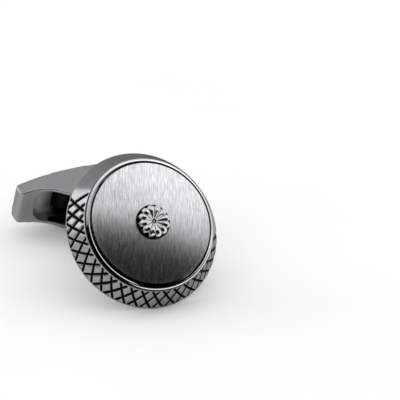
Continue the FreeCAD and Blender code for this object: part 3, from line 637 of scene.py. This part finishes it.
# Toggle: its CAD form, cast with a pocket that is round inside and with soft edges. It is worked
# in its own frame, in millimetres: X along the toggle, Y away from the head and Z along the pin.
PIVOT = Vector((0, 9.4839, 3.2503)) * MM
TOGGLE_LEAN = math.radians(20.94991)
TOGGLE = Matrix.Translation(PIVOT) @ Matrix.Rotation(TOGGLE_LEAN, 4, "X")
POCKET_HALF, POCKET_RISE, POCKET_FLOOR, POCKET_CORNER = 4.7, 2.35, 2.35, 1.6
POCKET_ROUND, POCKET_ROUND_STEPS, POCKET_MARGIN = 0.75, 6, 0.1
TIP_START, TIP_LOW, TIP_ROUNDS, EDGE_ROUNDS, ROUND_SHARE = 5.2, -1.0, 60, 9, 0.5
CAST_GRAIN, POCKET_SHADE_EDGE = 0.08, (3.5, 1.5)


def toggle_piece():
    """The toggle, with the inside of its pocket and the painted shade there as shares."""
    piece = cad_copy("toggle_shell", "toggle")
    piece.data.transform(Matrix.Scale(1 / MM, 4) @ TOGGLE.inverted())
    make_active(piece)
    bpy.ops.object.mode_set(mode="EDIT")
    bpy.ops.mesh.select_mode(type="EDGE")
    bpy.ops.mesh.select_all(action="DESELECT")
    bpy.ops.object.mode_set(mode="OBJECT")
    spots = corners(piece, unit=1)
    on_floor = np.abs(spots[:, 1] - POCKET_FLOOR) < NEAR_FACE
    on_floor = on_floor & (np.abs(spots[:, 0]) < POCKET_HALF + NEAR_FACE)
    for edge in piece.data.edges:
        edge.select = bool(on_floor[edge.vertices[0]] and on_floor[edge.vertices[1]])
    bpy.ops.object.mode_set(mode="EDIT")
    bpy.ops.mesh.bevel(offset=POCKET_ROUND, segments=POCKET_ROUND_STEPS, affect="EDGES")
    bpy.ops.object.mode_set(mode="OBJECT")
    cast = piece.modifiers.new("cast", "REMESH")
    cast.mode, cast.voxel_size = "VOXEL", CAST_GRAIN
    bpy.ops.object.modifier_apply(modifier=cast.name)
    spots = corners(piece, unit=1)
    tips = piece.vertex_groups.new(name="tip corners")
    at_tip = np.flatnonzero((np.abs(spots[:, 0]) > TIP_START) & (spots[:, 2] < TIP_LOW))
    tips.add(at_tip.tolist(), 1.0, "REPLACE")
    for name, group, rounds in (
        ("round tips", "tip corners", TIP_ROUNDS), ("tumbled edges", "", EDGE_ROUNDS),
    ):
        soften = piece.modifiers.new(name, "SMOOTH")
        soften.factor, soften.iterations, soften.vertex_group = ROUND_SHARE, rounds, group
        bpy.ops.object.modifier_apply(modifier=soften.name)
    bpy.ops.object.shade_smooth()
    spots = corners(piece, unit=1)
    aside = np.maximum(np.abs(spots[:, 0]) - POCKET_HALF + POCKET_CORNER, 0)
    above = np.maximum(np.abs(spots[:, 2]) - POCKET_RISE + POCKET_CORNER, 0)
    inside = np.hypot(aside, above) < POCKET_CORNER
    inside = inside & (spots[:, 1] < POCKET_FLOOR + POCKET_MARGIN)
    store_share(piece, "pocket", inside * 1.0)
    # Painted shade, near-black in the pocket's middle and fading towards its ends
    store_share(piece, "stain", inside * fade(np.abs(spots[:, 0]), *POCKET_SHADE_EDGE))
    piece.data.transform(TOGGLE @ Matrix.Scale(MM, 4))
    return piece


settle(toggle_piece(), "toggle_shell", "toggle", toggle_finish)

# Arm: its CAD form with softened edges
ARM_ROUND, ARM_ROUND_STEPS, ARM_CREASE = 0.08, 3, 40
arm = cad_copy("arm", "curved_arm")
bevel = arm.modifiers.new("edge rounding", "BEVEL")
bevel.width, bevel.segments = ARM_ROUND * MM, ARM_ROUND_STEPS
bevel.limit_method, bevel.angle_limit = "ANGLE", math.radians(ARM_CREASE)
bpy.ops.object.modifier_apply(modifier=bevel.name)
shade_smooth(arm, ARM_CREASE)
settle(arm, "arm", "head", arm_plating)

# The pieces that keep their CAD mesh
for node, material in (
    ("back_plate", satin_plating),
    ("bedding_ring", bedding),
    ("rosette_washer", plain_steel),
    ("pivot_pin", pin_steel),
    ("detent_spring", spring_steel),
):
    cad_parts[node].data.materials.clear()
    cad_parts[node].data.materials.append(material)

# Floor: white paper, matt, with a faint cloud some 25 mm across. Sizes of the studio are in metres.
FLOOR_SIZE, PAPER_CLOUD_MM = 6, 25
deselect()
bpy.ops.mesh.primitive_plane_add(size=FLOOR_SIZE, location=(0, 0, 0))
floor = bpy.context.active_object
floor.name = "floor"
paper, tree, shader = new_material("white_paper_floor")
shader.inputs["Metallic"].default_value = 0
shader.inputs["Roughness"].default_value = 0.9
shader.inputs["Specular IOR Level"].default_value = 0.1
fibre = add(
    tree, "ShaderNodeTexNoise", {"Scale": per_mm(PAPER_CLOUD_MM), "Detail": 3.0},
    {"Vector": add(tree, "ShaderNodeTexCoord").outputs["Object"]},
).outputs["Fac"]
pale = add(
    tree, "ShaderNodeValToRGB", {"stops": [(0.3, "#F4F4F4"), (0.7, "#F8F8F8")]}, {"Fac": fibre},
).outputs["Color"]
tree.links.new(shader.inputs["Base Color"], pale)
floor.data.materials.append(paper)

# Light: a white studio, two soft lamps, and matt boards that the metal mirrors
world = bpy.data.worlds.new("white studio")
scene.world = world
world.use_nodes = True
world.node_tree.nodes["Background"].inputs["Color"].default_value = (1, 1, 1, 1)
world.node_tree.nodes["Background"].inputs["Strength"].default_value = 1.0


def direction(turn, rise):
    """From the object towards a heading, in degrees from the front and above the floor."""
    turn, rise = math.radians(turn), math.radians(rise)
    level = math.cos(rise)
    return Vector((math.sin(turn) * level, -math.cos(turn) * level, math.sin(rise)))


def softbox(name, turn, rise, distance, width, height, radiance):
    """A soft lamp that faces the object."""
    lamp = bpy.data.lights.new(name, "AREA")
    lamp.shape = "RECTANGLE"
    lamp.size, lamp.size_y = width, height
    lamp.energy = radiance * math.pi * width * height
    holder = bpy.data.objects.new(name, lamp)
    way = direction(turn, rise)
    holder.location = way * distance
    holder.rotation_euler = way.to_track_quat("Z", "Y").to_euler()
    holder.visible_camera = False
    scene.collection.objects.link(holder)


softbox("key", turn=66, rise=52, distance=0.6, width=0.36, height=0.3, radiance=0.55)
softbox("side", turn=-132, rise=26, distance=0.6, width=0.46, height=0.32, radiance=1.3)


def card(name, turn, rise, sides, heights, stops, distance=0.5, about=(0, 0, 0)):
    """A matt board that only the object's gloss shows: where it stands, how far it reaches to its
    left and right and down and up, in degrees, its greys from its foot to its top, its distance
    in metres, and the point in millimetres that all this is seen from."""
    deselect()
    bpy.ops.mesh.primitive_plane_add(size=1)
    sheet = bpy.context.active_object
    sheet.name = name
    way = direction(turn, rise)
    reaches = [distance * math.tan(math.radians(angle)) for angle in (*sides, *heights)]
    left, right, low, high = reaches
    spot = Vector(about) * MM + way * distance
    stand = Matrix.Translation(spot) @ way.to_track_quat("Z", "Y").to_matrix().to_4x4()
    middle = Matrix.Translation(((left + right) / 2, (low + high) / 2, 0))
    sheet.data.transform(stand @ middle @ Matrix.Diagonal((right - left, high - low, 1, 1)))
    # Painted board, matt: an even grey that shades off from its foot to its top, with no gloss
    board, tree, shader = new_material(name + "_matt_board")
    shader.inputs["Metallic"].default_value = 0
    shader.inputs["Roughness"].default_value = 1
    shader.inputs["Specular IOR Level"].default_value = 0
    place = add(tree, "ShaderNodeTexCoord").outputs["UV"]
    height = add(tree, "ShaderNodeSeparateXYZ", links={"Vector": place}).outputs["Y"]
    greys = add(tree, "ShaderNodeValToRGB", {"stops": stops}, {"Fac": height}).outputs["Color"]
    tree.links.new(shader.inputs["Base Color"], greys)
    sheet.data.materials.append(board)
    sheet.visible_camera = False
    sheet.visible_diffuse = False
    sheet.visible_shadow = False


# The disc mirrors the front and left boards, which are one wall with a darker right part. The low
# board stands close to the plain stretch of the case's band.
FRONT_WALL = {"turn": -23.7, "rise": 40, "heights": (-40, 25)}
FRONT_GREYS = [
    (0, "#202020"), (0.76, "#262626"), (0.85, "#4C4C4C"), (0.9, "#9C9C9C"), (0.945, "#EDEDED"),
    (0.975, "#FFFFFF"),
]
LEFT_GREYS = [
    (0, "#4C4C4C"), (0.6, "#808080"), (0.85, "#A8A8A8"), (0.945, "#EDEDED"), (0.975, "#FFFFFF"),
]
BACK_GREYS = [(0, "#C0C0C0"), (1, "#D0D0D0")]
TOP_GREYS = [(0, "#DCDCDC"), (1, "#E2E2E2")]
LOW_GREYS = [(0, "#585858"), (0.45, "#8C8C8C"), (0.7, "#C0C0C0"), (1, "#DCDCDC")]
card("front_card", **FRONT_WALL, sides=(-6, 75), stops=FRONT_GREYS)
card("left_card", **FRONT_WALL, sides=(-60, -6), stops=LEFT_GREYS)
card("back_card", turn=175, rise=18, sides=(-25, 25), heights=(-18, 20), stops=BACK_GREYS)
card("top_card", turn=140, rise=62, sides=(-28, 32), heights=(-14, 16), stops=TOP_GREYS)
card(
    "low_card", turn=147, rise=0, sides=(-40, 30), heights=(-31, 20), stops=LOW_GREYS,
    distance=0.018, about=(7.5, -4, 11),
)

# Camera: far off with a long lens, so that the view is nearly parallel. The middle of the image is
# some pixels to the right of the head's origin and above it.
CAMERA_TURN, CAMERA_RISE, CAMERA_DISTANCE = -27.5, 25.6, 1.0
IMAGE_PIXELS, PIXELS_PER_MM, AIM_RIGHT_PIXELS, AIM_UP_PIXELS = 400, 8.933, 58.1, 30.4
SENSOR_MM, NEAREST = 36, 0.01
PIXEL = MM / PIXELS_PER_MM
camera_data = bpy.data.cameras.new("camera")
camera_data.sensor_width = SENSOR_MM
camera_data.lens = SENSOR_MM * CAMERA_DISTANCE / (IMAGE_PIXELS * PIXEL)
camera_data.clip_start = NEAREST
camera = bpy.data.objects.new("camera", camera_data)
scene.collection.objects.link(camera)
towards = direction(CAMERA_TURN, CAMERA_RISE)
camera.rotation_euler = towards.to_track_quat("Z", "Y").to_euler()
turned = camera.rotation_euler.to_matrix()
aim = HEAD_ORIGIN + turned @ Vector((AIM_RIGHT_PIXELS * PIXEL, AIM_UP_PIXELS * PIXEL, 0))
camera.location = aim + towards * CAMERA_DISTANCE
scene.camera = camera
scene.view_settings.view_transform = "Standard"
